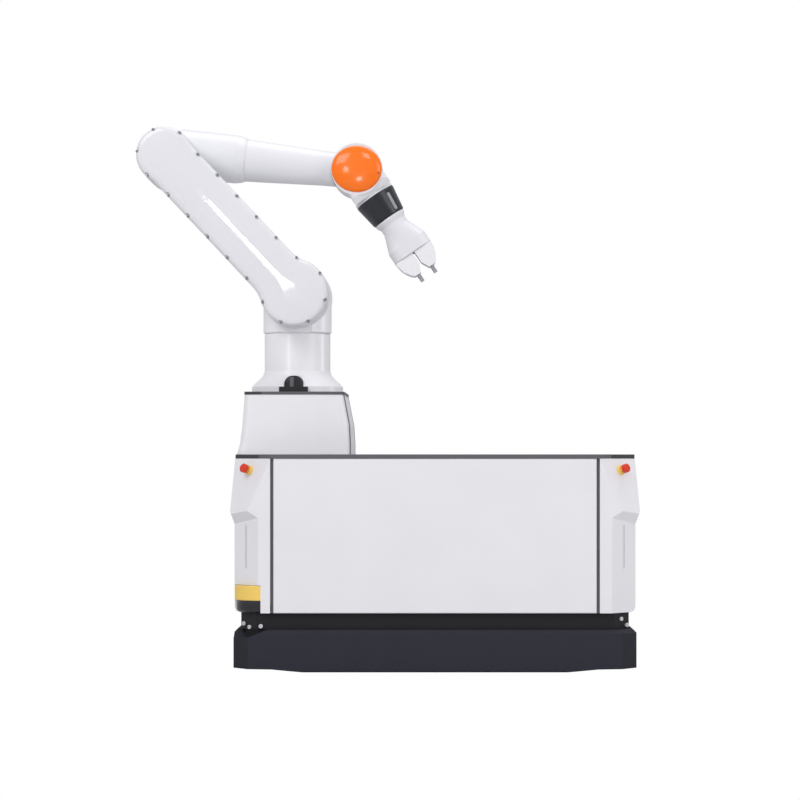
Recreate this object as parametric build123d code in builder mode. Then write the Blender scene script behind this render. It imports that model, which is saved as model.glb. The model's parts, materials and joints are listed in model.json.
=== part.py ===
import os
from math import asin, atan2, cos, degrees, radians, sin, sqrt

from build123d import *

os.makedirs("parts", exist_ok=True)

# Driving dimensions of the mobile platform, in millimetres
platform_length = 1215
platform_width = 720
floor_gap = 8
skirt_top = 135
body_bottom = 185
body_top = 649
deck_thickness = 13
panel_thickness = 12
seam_width = 10
corner_cover_width = 112.5
corner_chamfer = 76.5
skirt_chamfer = 46

# Driving dimensions of the pedestal
pedestal_left = -605
pedestal_right = -258
pedestal_height = 183
pedestal_depth = 490
pedestal_plate_thickness = 9
pedestal_side_thickness = 7
pedestal_crease_x = -362

# Driving dimensions of the arm
arm_x = -432
base_flange_radius = 143
column_radius = 103
shoulder_radius = 107
seam_z = 1040.5
shoulder_z = 1157
link_length = 579.5
link_rest_angle = 133.2
upper_arm_shoulder_radius = 104
upper_arm_elbow_radius = 86
upper_arm_waist = 80
waist_blend = 120
upper_arm_rear_y = -95
upper_arm_depth = 140
upper_arm_cover_depth = 24
cover_screw_count = 20
elbow_housing_radius = 88
forearm_axis_rise = 30.2979
wrist_x = -244
wrist_z = 1550.5
wrist_radius = 80.5
forearm_stub_radius = 75
forearm_tube_radius = 66
forearm_tip_radius = 54
hand_angle = 55.5
ring_start = 97
ring_length = 81
ring_top_radius = 66
ring_bottom_radius = 54
gripper_seam = 132
gripper_length = 198
gripper_half_width = 67
gripper_depth = 84
finger_spacing = 25
joint_gap = 0.3

# Values that follow from the driving dimensions
half_length = platform_length / 2
half_width = platform_width / 2
deck_top = body_top + deck_thickness
pedestal_top = deck_top + pedestal_height + pedestal_plate_thickness
frame_half_length = half_length - corner_cover_width
frame_half_width = half_width - panel_thickness
end_frame_half = half_width - corner_cover_width
seam_half_length = frame_half_length - seam_width
end_seam_half = end_frame_half - seam_width
elbow_x = arm_x + link_length * cos(radians(link_rest_angle))
elbow_z = shoulder_z + link_length * sin(radians(link_rest_angle))
forearm_reach = sqrt((wrist_x - elbow_x) ** 2 + (elbow_z - wrist_z) ** 2)
forearm_slope = degrees(atan2(elbow_z - wrist_z, wrist_x - elbow_x))
forearm_droop = forearm_slope + degrees(asin(forearm_axis_rise / forearm_reach))


# Base pan, wheels, skirt and neck of the platform
pan_half_length = half_length - 34
pan_half_width = half_width - 30
drive_wheel_radius = 100
drive_wheel_width = 56
drive_wheel_y = 250
caster_radius = 50
caster_width = 36
caster_x = 455
caster_y = 200
wheel_well = 10
skirt_corner_drop = 24
skirt_end_rise = 10
skirt_rise_start = 395
skirt_rise_end = 490
scanner_size = 84

with BuildPart() as base_pan:
    with BuildSketch(Plane.XY.offset(30)):
        Rectangle(2 * pan_half_length, 2 * pan_half_width)
        chamfer(vertices(), skirt_chamfer - 6)
    extrude(amount=skirt_top - 30)
    with BuildSketch(Plane.XY.offset(30)):
        with Locations((0, drive_wheel_y), (0, -drive_wheel_y)):
            Rectangle(2 * drive_wheel_radius + 2 * wheel_well, drive_wheel_width)
        with GridLocations(2 * caster_x, 2 * caster_y, 2, 2):
            Rectangle(2 * caster_radius + 2 * wheel_well, caster_width)
    extrude(amount=skirt_top - 30 - 6, mode=Mode.SUBTRACT)

with BuildPart() as drive_wheels:
    with BuildSketch(Plane.XZ.offset(-drive_wheel_y - drive_wheel_width / 2)):
        with Locations((0, drive_wheel_radius)):
            Circle(24)
    extrude(amount=drive_wheel_width)
    with BuildSketch(Plane.XZ.offset(-drive_wheel_y - drive_wheel_width / 2 + 4)):
        with Locations((0, drive_wheel_radius)):
            Circle(drive_wheel_radius)
    extrude(amount=drive_wheel_width - 8)
    split(bisect_by=Plane.XY.offset(skirt_top - 6.5), keep=Keep.BOTTOM)
    mirror(about=Plane.XZ)

with BuildPart() as caster_wheels:
    with GridLocations(2 * caster_x, 2 * caster_y, 2, 2):
        with Locations(Location((0, 0, caster_radius), (90, 0, 0))):
            Cylinder(caster_radius, caster_width - 8)
            Cylinder(14, caster_width)

# Sunk corner of the skirt below a scanner
relief_inner = 45
relief_outer = 105
with BuildPart() as scanner_relief_form:
    with BuildSketch(Plane.XY.offset(skirt_top - skirt_corner_drop)):
        with Locations((-half_length, -half_width)):
            Rectangle(2 * relief_inner, 2 * relief_inner)
    with BuildSketch(Plane.XY.offset(skirt_top + 1)):
        with Locations((-half_length, -half_width)):
            Rectangle(2 * relief_outer, 2 * relief_outer)
    loft()

with BuildPart() as bumper_skirt:
    with BuildSketch(Plane.XY.offset(floor_gap)):
        Rectangle(platform_length, platform_width + 20)
        chamfer(vertices(), skirt_chamfer)
    extrude(amount=skirt_top - floor_gap)
    bottom_rim = faces().sort_by(Axis.Z)[0].edges()
    fillet(bottom_rim, 7)
    top_rim = faces().sort_by(Axis.Z)[-1].edges()
    chamfer(top_rim, 10)
    with BuildSketch(Plane.XY.offset(floor_gap)):
        Rectangle(2 * pan_half_length, 2 * pan_half_width)
        chamfer(vertices(), skirt_chamfer - 6)
    extrude(amount=skirt_top, mode=Mode.SUBTRACT)
    with BuildSketch(Plane.XZ.offset(-half_width - 30)):
        with BuildLine():
            Polyline(
                (-half_length - 10, floor_gap - 5),
                (-half_length - 10, floor_gap + skirt_end_rise + 1),
                (-skirt_rise_end, floor_gap + skirt_end_rise - 1),
                (-skirt_rise_start, floor_gap),
                (-skirt_rise_start, floor_gap - 5),
                close=True,
            )
        make_face()
        mirror(about=Plane.YZ)
    extrude(amount=2 * half_width + 60, mode=Mode.SUBTRACT)
    add(scanner_relief_form.part, mode=Mode.SUBTRACT)
    add(Rot(0, 0, 180) * scanner_relief_form.part, mode=Mode.SUBTRACT)

with BuildPart() as neck_band:
    with BuildSketch(Plane.XY.offset(skirt_top)):
        Rectangle(platform_length - 42, platform_width - 44)
        chamfer(vertices(), skirt_chamfer)
    extrude(amount=body_bottom - skirt_top)

# Body frame with its panels
with BuildPart() as body_frame:
    with BuildSketch(Plane.XY.offset(body_bottom)):
        Rectangle(2 * frame_half_length, 2 * frame_half_width)
        Rectangle(platform_length - 2 * panel_thickness, 2 * end_frame_half)
    extrude(amount=body_top - body_bottom)

with BuildPart() as side_panel_front:
    with BuildSketch(Plane.XZ.offset(frame_half_width)):
        with Locations((0, (body_bottom + body_top) / 2)):
            Rectangle(2 * seam_half_length, body_top - body_bottom)
    extrude(amount=panel_thickness)
    outer_face = faces().sort_by(Axis.Y)[0]
    chamfer(outer_face.edges(), 2)

with BuildPart() as side_panel_rear:
    mirror(side_panel_front.part, about=Plane.XZ)

with BuildPart() as end_panel_left:
    with BuildSketch(Plane.YZ.offset(-half_length)):
        with Locations((0, (body_bottom + body_top) / 2)):
            Rectangle(2 * end_seam_half, body_top - body_bottom)
    extrude(amount=panel_thickness)
    outer_face = faces().sort_by(Axis.X)[0]
    chamfer(outer_face.edges(), 2)

with BuildPart() as end_panel_right:
    mirror(end_panel_left.part, about=Plane.YZ)

# Corner covers: a leaning facet above for the emergency stop, an undercut, and a plain 45 degree face below
facet_bottom_z = 492
facet_lean = 69
end_bulge = 12
undercut_drop = 21
undercut_floor_z = 451
cover_inner_x = -frame_half_length
cover_inner_y = -end_frame_half
lower_face_x = -half_length + corner_chamfer
facet_top_sum = -(half_length + half_width) + corner_cover_width
facet_bottom_sum = facet_top_sum - facet_lean
facet_slope = facet_lean / (body_top - facet_bottom_z)
facet_plane = Plane(
    origin=(facet_top_sum / 2, facet_top_sum / 2, body_top),
    z_dir=(-1, -1, facet_slope),
)
facet_corner_x = facet_bottom_sum + half_width
undercut_slope_x = undercut_drop / (facet_corner_x - lower_face_x)
undercut_slope_y = undercut_slope_x - 0.25
undercut_plane = Plane(
    origin=(lower_face_x, -half_width, facet_bottom_z - undercut_drop),
    z_dir=(-undercut_slope_x, -undercut_slope_y, 1),
)
end_undercut_plane = Plane(
    origin=(-half_length, 0, facet_bottom_z - 40),
    z_dir=(40 / end_bulge, 0, 1),
)

with BuildPart() as upper_cover_form:
    with BuildSketch(Plane.XZ.offset(-cover_inner_y)):
        with BuildLine():
            Polyline(
                (cover_inner_x, body_top),
                (-half_length - 1, body_top),
                (-half_length - end_bulge, facet_bottom_z),
                (-half_length - end_bulge, undercut_floor_z),
                (cover_inner_x, undercut_floor_z),
                close=True,
            )
        make_face()
    extrude(amount=corner_cover_width)
    split(bisect_by=facet_plane, keep=Keep.BOTTOM)
    split(bisect_by=undercut_plane, keep=Keep.TOP)
    split(bisect_by=end_undercut_plane, keep=Keep.TOP)

with BuildPart() as plain_corner_cover:
    with BuildSketch(Plane.XY.offset(body_bottom)):
        with BuildLine():
            Polyline(
                (cover_inner_x, cover_inner_y),
                (cover_inner_x, -half_width),
                (lower_face_x, -half_width),
                (-half_length, -half_width + corner_chamfer),
                (-half_length, cover_inner_y),
                close=True,
            )
        make_face()
    extrude(amount=facet_bottom_z - body_bottom)
    low_end_edge = edges().filter_by(Axis.Y).group_by(Axis.Z)[0].sort_by(Axis.X)[0]
    fillet(low_end_edge, 18)
    add(upper_cover_form.part)

# Light strips on the lower corner faces, each with its recess
strip_width = 9
strip_bottom = 317
strip_top = 448
strip_depth = 4
strip_x = -half_length + corner_chamfer / 2
strip_y = -half_width + corner_chamfer / 2
strip_plane = Plane(
    origin=(strip_x, strip_y, (strip_bottom + strip_top) / 2),
    x_dir=(1, -1, 0),
    z_dir=(-1, -1, 0),
)

# Emergency stops on the leaning facets
stop_z = 613
stop_sum = facet_top_sum - (body_top - stop_z) * facet_slope
stop_x = (stop_sum - half_length + half_width) / 2
stop_base_radius = 14
stop_base_height = 10
stop_neck_radius = 7
stop_cap_radius = 13.5
stop_cap_height = 14
stop_cap_lift = 18
stop_plane = Plane(
    origin=(stop_x, stop_sum - stop_x, stop_z),
    x_dir=(1, -1, 0),
    z_dir=(-1, -1, facet_slope),
)
stop_axis = Axis(stop_plane.origin, stop_plane.z_dir)

with BuildPart() as corner_cover_form:
    add(plain_corner_cover.part)
    with BuildSketch(strip_plane):
        SlotOverall(strip_top - strip_bottom, strip_width, rotation=90)
    extrude(amount=-strip_depth, mode=Mode.SUBTRACT)

with BuildPart() as status_light_form:
    with BuildSketch(strip_plane.offset(-strip_depth)):
        SlotOverall(strip_top - strip_bottom - 1.2, strip_width - 1.2, rotation=90)
    extrude(amount=strip_depth - 1)

# Scanner pocket at the near left corner and its diagonal opposite
scanner_top = 267
scanner_optics_top = 222
scanner_x = -half_length + scanner_size
scanner_y = -half_width + scanner_size
pocket_gap = 1

with BuildPart() as corner_cover_front_left:
    add(corner_cover_form.part)
    with BuildSketch(Plane.XY.offset(body_bottom)):
        with Locations((-half_length, -half_width)):
            Rectangle(2 * scanner_size, 2 * scanner_size)
    extrude(amount=scanner_top + pocket_gap - body_bottom, mode=Mode.SUBTRACT)

with BuildPart() as corner_cover_front_right:
    mirror(corner_cover_form.part, about=Plane.YZ)

with BuildPart() as corner_cover_rear_left:
    mirror(corner_cover_form.part, about=Plane.XZ)

with BuildPart() as corner_cover_rear_right:
    add(Rot(0, 0, 180) * corner_cover_front_left.part)

with BuildPart() as scanner_body_form:
    with BuildSketch(Plane.XY.offset(scanner_optics_top)):
        with Locations((scanner_x, scanner_y)):
            Circle(scanner_size)
            Rectangle(
                2 * scanner_size,
                2 * scanner_size,
                align=(Align.MAX, Align.MAX),
                mode=Mode.INTERSECT,
            )
    extrude(amount=scanner_top - scanner_optics_top)
    fillet(edges().filter_by(GeomType.CIRCLE), 4)

with BuildPart() as scanner_optics_form:
    with BuildSketch(Plane.XY.offset(body_bottom)):
        with Locations((scanner_x, scanner_y)):
            Circle(scanner_size - 6)
            Rectangle(
                2 * scanner_size,
                2 * scanner_size,
                align=(Align.MAX, Align.MAX),
                mode=Mode.INTERSECT,
            )
    extrude(amount=scanner_optics_top - body_bottom)
    low_arc = edges().filter_by(GeomType.CIRCLE).sort_by(Axis.Z)[0]
    fillet(low_arc, 10)

with BuildPart() as scanner_bodies:
    add(scanner_body_form.part)
    add(Rot(0, 0, 180) * scanner_body_form.part)

with BuildPart() as scanner_optics:
    add(scanner_optics_form.part)
    add(Rot(0, 0, 180) * scanner_optics_form.part)

with BuildPart() as status_lights:
    add(status_light_form.part)
    mirror(about=Plane.YZ)
    mirror(about=Plane.XZ)

with BuildPart() as estop_bases:
    with BuildSketch(stop_plane):
        Circle(stop_base_radius)
    extrude(amount=stop_base_height)
    chamfer(faces().sort_by(stop_axis)[-1].edges(), 1.5)
    with BuildSketch(stop_plane.offset(stop_base_height)):
        Circle(stop_neck_radius)
    extrude(amount=stop_cap_lift - stop_base_height)
    mirror(about=Plane.YZ)
    mirror(about=Plane.XZ)

with BuildPart() as estop_caps:
    with BuildSketch(stop_plane.offset(stop_cap_lift)):
        Circle(stop_cap_radius)
    extrude(amount=stop_cap_height)
    chamfer(faces().sort_by(stop_axis)[-1].edges(), 3)
    mirror(about=Plane.YZ)
    mirror(about=Plane.XZ)

# Deck: one plate under the pedestal and one free plate
deck_split_x = pedestal_right + 4
with BuildPart() as whole_deck:
    with BuildSketch(Plane.XY.offset(body_top)):
        Rectangle(platform_length, platform_width)
        chamfer(vertices(), corner_cover_width)
    extrude(amount=deck_thickness)
    chamfer(faces().sort_by(Axis.Z)[-1].edges(), 1.5)

with BuildPart() as deck_plate:
    add(whole_deck.part)
    split(bisect_by=Plane.YZ.offset(deck_split_x), keep=Keep.TOP)

with BuildPart() as pedestal_base_plate:
    add(whole_deck.part)
    split(bisect_by=Plane.YZ.offset(deck_split_x), keep=Keep.BOTTOM)

# Pedestal: a flared shell under a dark top plate and side panel
shell_top = deck_top + pedestal_height


def pedestal_outline(height, left, right, half_depth):
    """Plan of the pedestal at one height, with the crease in its long faces."""
    with BuildSketch(Plane.XY.offset(height)) as outline:
        with BuildLine():
            Polyline(
                (left, -half_depth),
                (pedestal_crease_x, -half_depth),
                (right, -half_depth + 12),
                (right, half_depth - 12),
                (pedestal_crease_x, half_depth),
                (left, half_depth),
                close=True,
            )
        make_face()
        corners = outline.vertices().filter_by(lambda v: abs(v.X - pedestal_crease_x) > 1)
        fillet(corners, 22)
    return outline.sketch


half_depth = pedestal_depth / 2
pedestal_foot = pedestal_outline(deck_top, pedestal_left, pedestal_right, half_depth)
pedestal_flare = pedestal_outline(deck_top + 32, pedestal_left + 9, pedestal_right, half_depth - 6)
pedestal_waist = pedestal_outline(deck_top + 90, pedestal_left + 16, pedestal_right - 3, half_depth - 14)
pedestal_head = pedestal_outline(shell_top, pedestal_left + 22, pedestal_right - 21, half_depth - 28)

with BuildPart() as pedestal_form:
    loft(sections=[pedestal_foot, pedestal_flare, pedestal_waist, pedestal_head], ruled=True)

with BuildPart() as side_panel_band:
    with BuildSketch(Plane.XZ.offset(-half_depth + 50)):
        with BuildLine():
            Polyline(
                (pedestal_right, deck_top),
                (pedestal_right, deck_top + 32),
                (pedestal_right - 3, deck_top + 90),
                (pedestal_right - 21, shell_top),
                (pedestal_right - 21 - pedestal_side_thickness, shell_top),
                (pedestal_right - 3 - pedestal_side_thickness, deck_top + 90),
                (pedestal_right - pedestal_side_thickness, deck_top + 32),
                (pedestal_right - pedestal_side_thickness, deck_top),
                close=True,
            )
        make_face()
    extrude(amount=2 * half_depth - 100)

with BuildPart() as pedestal_shell:
    add(pedestal_form.part)
    add(side_panel_band.part, mode=Mode.SUBTRACT)

with BuildPart() as pedestal_side_panel:
    add(side_panel_band.part)

with BuildPart() as pedestal_top_plate:
    with BuildSketch(Plane.XY.offset(shell_top)):
        add(pedestal_head.face().moved(Location((0, 0, -shell_top))))
        offset(amount=1.5)
    extrude(amount=pedestal_plate_thickness)

# Arm base with its flared flange, and the connector in its arch
connector_x = arm_x - 4.5
arch_width = 60
arch_top = pedestal_top + 52.5
arch_back_y = -96
connector_front_y = -150
connector_foot_width = 89
connector_foot_height = 17
with BuildPart() as arm_base:
    with BuildSketch(Plane.XZ):
        with BuildLine():
            Polyline(
                (arm_x, pedestal_top),
                (arm_x + base_flange_radius, pedestal_top),
                (arm_x + base_flange_radius, pedestal_top + 19),
                (arm_x + base_flange_radius - 9, pedestal_top + 29),
                (arm_x + column_radius + 16.5, pedestal_top + 42),
                (arm_x + column_radius + 5.5, pedestal_top + 54),
                (arm_x + column_radius, pedestal_top + 68),
                (arm_x + column_radius, seam_z - 4),
                (arm_x + column_radius - 4, seam_z),
                (arm_x, seam_z),
                (arm_x, pedestal_top),
            )
        make_face()
    revolve(axis=Axis((arm_x, 0, 0), (0, 0, 1)))
    with BuildSketch(Plane.XZ.offset(-arch_back_y)):
        with Locations((connector_x, pedestal_top - 1)):
            Rectangle(arch_width, arch_top - pedestal_top + 1, align=(Align.CENTER, Align.MIN))
        fillet(vertices().group_by(Axis.Y)[-1], 26)
    extrude(amount=100, mode=Mode.SUBTRACT)

with BuildPart() as base_connector:
    with BuildSketch(Plane.XZ.offset(-arch_back_y)):
        with Locations((connector_x, pedestal_top)):
            Rectangle(arch_width - 3, arch_top - pedestal_top - 1.5, align=(Align.CENTER, Align.MIN))
        fillet(vertices().group_by(Axis.Y)[-1], 24)
    extrude(amount=arch_back_y - connector_front_y)
    fillet(faces().sort_by(Axis.Y)[0].edges().sort_by(Axis.Z)[1:], 9)
    with BuildSketch(Plane.XZ.offset(base_flange_radius + 1)):
        with Locations((connector_x, pedestal_top)):
            Rectangle(connector_foot_width, connector_foot_height, align=(Align.CENTER, Align.MIN))
    extrude(amount=-connector_front_y - base_flange_radius + 1)

# Shoulder housing that turns on the base: a column and a cross drum
drum_front_y = upper_arm_rear_y + joint_gap
drum_rear_y = 108
with BuildPart() as shoulder_housing:
    with BuildSketch(Plane.XY.offset(seam_z + joint_gap)):
        with Locations((arm_x, 0)):
            Circle(shoulder_radius)
    extrude(amount=shoulder_z - seam_z - joint_gap)
    chamfer(faces().sort_by(Axis.Z)[0].edges(), 3)
    with BuildSketch(Plane.XZ.offset(-drum_rear_y)):
        with Locations((arm_x, shoulder_z)):
            Circle(shoulder_radius - 2)
    extrude(amount=drum_rear_y - drum_front_y)
    split(bisect_by=Plane.XZ.offset(-drum_front_y), keep=Keep.BOTTOM)

with BuildPart() as shoulder_rear_cap:
    with BuildSketch(Plane.XZ.offset(-drum_rear_y)):
        with Locations((arm_x, shoulder_z)):
            Circle(upper_arm_shoulder_radius - 12)
    extrude(amount=-16)
    chamfer(faces().sort_by(Axis.Y)[-1].edges(), 9)

# Upper arm: a waisted casting and its crowned cover with a scalloped rim of screw notches
link_plane = Plane(
    origin=(arm_x, 0, shoulder_z),
    x_dir=(cos(radians(link_rest_angle)), 0, sin(radians(link_rest_angle))),
    z_dir=(0, -1, 0),
)


def waist_join(end_radius, waist):
    """Points of the concave arc from an end disc to the straight side, for a disc at the origin."""
    blend = waist_blend
    reach = sqrt((end_radius + blend) ** 2 - (waist + blend) ** 2)
    on_disc = Vector(reach, waist + blend) * (end_radius / (end_radius + blend))
    centre = Vector(reach, waist + blend)
    middle = centre + ((on_disc - centre).normalized() + Vector(0, -1)).normalized() * blend
    return on_disc, middle, Vector(reach, waist)


def upper_arm_outline(front_y, inset):
    """Outline of the upper arm in its own plane, drawn in by an inset."""
    shoulder_r = upper_arm_shoulder_radius - inset
    elbow_r = upper_arm_elbow_radius - inset
    waist = upper_arm_waist - inset
    s_disc, s_mid, s_side = waist_join(shoulder_r, waist)
    e_disc, e_mid, e_side = waist_join(elbow_r, waist)
    with BuildSketch(link_plane.offset(-front_y)) as outline:
        with BuildLine():
            ThreePointArc((s_disc.X, s_disc.Y), (-shoulder_r, 0), (s_disc.X, -s_disc.Y))
            ThreePointArc((s_disc.X, -s_disc.Y), (s_mid.X, -s_mid.Y), (s_side.X, -s_side.Y))
            Line((s_side.X, -s_side.Y), (link_length - e_side.X, -e_side.Y))
            ThreePointArc(
                (link_length - e_side.X, -e_side.Y),
                (link_length - e_mid.X, -e_mid.Y),
                (link_length - e_disc.X, -e_disc.Y),
            )
            ThreePointArc(
                (link_length - e_disc.X, -e_disc.Y),
                (link_length + elbow_r, 0),
                (link_length - e_disc.X, e_disc.Y),
            )
            ThreePointArc(
                (link_length - e_disc.X, e_disc.Y),
                (link_length - e_mid.X, e_mid.Y),
                (link_length - e_side.X, e_side.Y),
            )
            Line((link_length - e_side.X, e_side.Y), (s_side.X, s_side.Y))
            ThreePointArc((s_side.X, s_side.Y), (s_mid.X, s_mid.Y), (s_disc.X, s_disc.Y))
        make_face()
    return outline.sketch


cover_back_y = upper_arm_rear_y - upper_arm_depth + upper_arm_cover_depth
with BuildPart() as upper_arm_housing:
    extrude(upper_arm_outline(upper_arm_rear_y, 0).face(), amount=upper_arm_rear_y - cover_back_y)

notch_radius = 9
cover_screw_phase = 0.03
cover_outline = upper_arm_outline(cover_back_y, 1.5)
cover_front_y = cover_back_y - upper_arm_cover_depth
cover_crown = [
    upper_arm_outline(cover_back_y - 10, 1.5),
    upper_arm_outline(cover_front_y + 9, 4),
    upper_arm_outline(cover_front_y + 5, 9),
    upper_arm_outline(cover_front_y + 2.8, 18),
    upper_arm_outline(cover_front_y + 1, 45),
    upper_arm_outline(cover_front_y, 73),
]
with BuildPart() as upper_arm_cover:
    extrude(cover_outline.face(), amount=10)
    loft(sections=cover_crown, ruled=True)
    rim = cover_outline.face().outer_wire()
    for number in range(cover_screw_count):
        seat = rim.position_at((number + cover_screw_phase) / cover_screw_count)
        with BuildSketch(Plane(origin=(seat.X, cover_back_y - 8, seat.Z), z_dir=(0, -1, 0))):
            Circle(notch_radius)
        extrude(amount=upper_arm_cover_depth, mode=Mode.SUBTRACT)

# Elbow housing on the far side of the upper arm
elbow_front_y = upper_arm_rear_y + joint_gap
elbow_rear_y = 88
forearm_direction = (cos(radians(forearm_droop)), 0, -sin(radians(forearm_droop)))
wrist_plane = Plane(origin=(wrist_x, 0, wrist_z), x_dir=forearm_direction, z_dir=(0, -1, 0))
tube_start = -350
stub_reach = -560
tube_end = -60

with BuildPart() as elbow_housing:
    with BuildSketch(Plane.XZ.offset(-elbow_rear_y)):
        with Locations((elbow_x, elbow_z)):
            Circle(elbow_housing_radius)
    extrude(amount=elbow_rear_y - elbow_front_y)
    chamfer(faces().sort_by(Axis.Y)[-1].edges(), 10)
    with BuildSketch(wrist_plane):
        with BuildLine():
            Polyline(
                (stub_reach, 0),
                (stub_reach, forearm_stub_radius + 2),
                (tube_start - 30, forearm_stub_radius),
                (tube_start - 8, forearm_stub_radius - 4),
                (tube_start, forearm_tube_radius + 1),
                (tube_start, 0),
                (stub_reach, 0),
            )
        make_face()
    revolve(axis=Axis((wrist_x, 0, wrist_z), forearm_direction))

with BuildPart() as elbow_rear_cap:
    with BuildSketch(Plane.XZ.offset(-elbow_rear_y)):
        with Locations((elbow_x, elbow_z)):
            Circle(elbow_housing_radius - 16)
    extrude(amount=-14)
    chamfer(faces().sort_by(Axis.Y)[-1].edges(), 8)

# Forearm tube that rolls in front of the elbow housing and ends in the wrist drum
hand_face_y = -8
wrist_rear_y = 82
with BuildPart() as forearm_tube:
    with BuildSketch(wrist_plane):
        with BuildLine():
            Polyline(
                (tube_start + joint_gap, 0),
                (tube_start + joint_gap, forearm_tube_radius),
                (tube_start + 70, forearm_tube_radius - 3),
                (-100, forearm_tip_radius),
                (tube_end, forearm_tip_radius),
                (tube_end, 0),
                close=True,
            )
        make_face()
    revolve(axis=Axis((wrist_x, 0, wrist_z), forearm_direction))
    with BuildSketch(Plane.XZ.offset(-wrist_rear_y)):
        with Locations((wrist_x, wrist_z)):
            Circle(wrist_radius + 12)
    extrude(amount=wrist_rear_y - hand_face_y + 90, mode=Mode.SUBTRACT)
    with BuildSketch(wrist_plane):
        with BuildLine():
            Polyline(
                (-wrist_radius - 30, 0),
                (-wrist_radius - 30, forearm_tip_radius),
                (-20, forearm_tip_radius),
                (-20, 0),
                close=True,
            )
        make_face()
    revolve(axis=Axis((wrist_x, 0, wrist_z), forearm_direction))
    with BuildSketch(Plane.XZ.offset(-hand_face_y - joint_gap)):
        with Locations((wrist_x, wrist_z)):
            Circle(wrist_radius + 1.5)
    extrude(amount=100, mode=Mode.SUBTRACT)
    with BuildSketch(Plane.XZ.offset(-wrist_rear_y)):
        with Locations((wrist_x, wrist_z)):
            Circle(wrist_radius)
    extrude(amount=wrist_rear_y - hand_face_y - joint_gap)
    chamfer(faces().sort_by(Axis.Y)[-1].edges(), 10)

with BuildPart() as wrist_rear_cap:
    with BuildSketch(Plane.XZ.offset(-wrist_rear_y)):
        with Locations((wrist_x, wrist_z)):
            Circle(wrist_radius - 14)
    extrude(amount=-9)
    chamfer(faces().sort_by(Axis.Y)[-1].edges(), 5)

# Hand: a drum at the wrist axis, a neck in front of the forearm and the collar of the last axis
hand_direction = (cos(radians(hand_angle)), 0, -sin(radians(hand_angle)))
hand_plane = Plane(origin=(wrist_x, 0, wrist_z), x_dir=hand_direction, z_dir=(0, -1, 0))
hand_axis = Axis((wrist_x, 0, wrist_z), hand_direction)
hand_front_y = -78
cap_rise = 21
neck_end = 89
neck_taper = 68
neck_corner = 14
swing_clearance = 5
greatest_bend = 110.5
neck_rear = forearm_tip_radius + swing_clearance
flank_angle = radians(180 - greatest_bend)
flank_half_width = ring_top_radius + 10
flank_root = neck_rear / sin(flank_angle)
flank_end = (neck_rear + flank_half_width * cos(flank_angle)) / sin(flank_angle)


def across_hand(distance):
    """Plane square to the hand axis at a distance from the wrist."""
    spot = (
        wrist_x + distance * hand_direction[0],
        0,
        wrist_z + distance * hand_direction[2],
    )
    return Plane(origin=spot, x_dir=(sin(radians(hand_angle)), 0, cos(radians(hand_angle))), z_dir=hand_direction)


with BuildPart() as hand_body:
    with BuildSketch(hand_plane):
        with Locations(((ring_start - joint_gap) / 2, ring_top_radius / 2)):
            Rectangle(ring_start - joint_gap, ring_top_radius)
    revolve(axis=hand_axis)
    with BuildSketch(hand_plane.offset(-flank_half_width)):
        with BuildLine():
            Polyline(
                (-1, -flank_half_width),
                (flank_end, -flank_half_width),
                (flank_root, 0),
                (flank_end, flank_half_width),
                (-1, flank_half_width),
                close=True,
            )
        make_face()
    extrude(amount=flank_half_width + neck_rear, mode=Mode.SUBTRACT)
    with BuildSketch(across_hand(0)):
        with Locations((0, neck_rear)):
            Rectangle(2 * ring_top_radius, -hand_front_y - neck_rear, align=(Align.CENTER, Align.MIN))
        fillet(vertices().group_by(Axis.Y)[-1], neck_corner)
    extrude(amount=neck_end)
    with BuildSketch(Plane(origin=across_hand(0).origin, x_dir=hand_direction, z_dir=across_hand(0).x_dir)):
        with BuildLine():
            Polyline(
                (neck_taper, hand_front_y),
                (neck_end, -ring_top_radius - 0.5),
                (neck_end, hand_front_y - 10),
                (neck_taper, hand_front_y - 10),
                close=True,
            )
        make_face()
    extrude(amount=flank_half_width, both=True, mode=Mode.SUBTRACT)
    with BuildSketch(Plane.XZ.offset(-hand_face_y - 200)):
        with Locations((wrist_x, wrist_z)):
            Circle(wrist_radius + 1.5)
    extrude(amount=200, mode=Mode.SUBTRACT)
    with BuildSketch(Plane.XZ.offset(-hand_face_y)):
        with Locations((wrist_x, wrist_z)):
            Circle(wrist_radius)
    extrude(amount=hand_face_y - hand_front_y)

with BuildPart() as wrist_cap:
    with BuildSketch(Plane.XZ.offset(-hand_front_y)):
        with Locations((wrist_x, wrist_z)):
            Circle(wrist_radius - 1.5)
    extrude(amount=cap_rise)
    dome_radius = (wrist_radius**2 + (cap_rise - 5) ** 2) / (2 * (cap_rise - 5))
    with Locations((wrist_x, hand_front_y - cap_rise + dome_radius, wrist_z)):
        Sphere(dome_radius, mode=Mode.INTERSECT)

# Control ring that turns with the gripper
ring_end = ring_start + ring_length
with BuildPart() as control_ring:
    with BuildSketch(hand_plane):
        with BuildLine():
            Polyline(
                (ring_start, 0),
                (ring_start, ring_top_radius - 1),
                (ring_start + 3, ring_top_radius + 1),
                (ring_end - 4, ring_bottom_radius + 1),
                (ring_end, ring_bottom_radius - 3),
                (ring_end, 0),
                close=True,
            )
        make_face()
    revolve(axis=hand_axis)

# Gripper: a necked body and two jaws that meet, with a notch between their tips
neck_radius = 44
body_start = ring_end + 36
body_full = ring_end + 96
body_end = ring_end + gripper_seam
jaw_start = body_end + 1
jaw_end = ring_end + gripper_length
jaw_depth = gripper_depth - 6
jaw_meet = 3.5
jaw_inner = 16
jaw_notch_length = 26
tip_length = 24
tip_width = 12
tip_depth = 30


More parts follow.
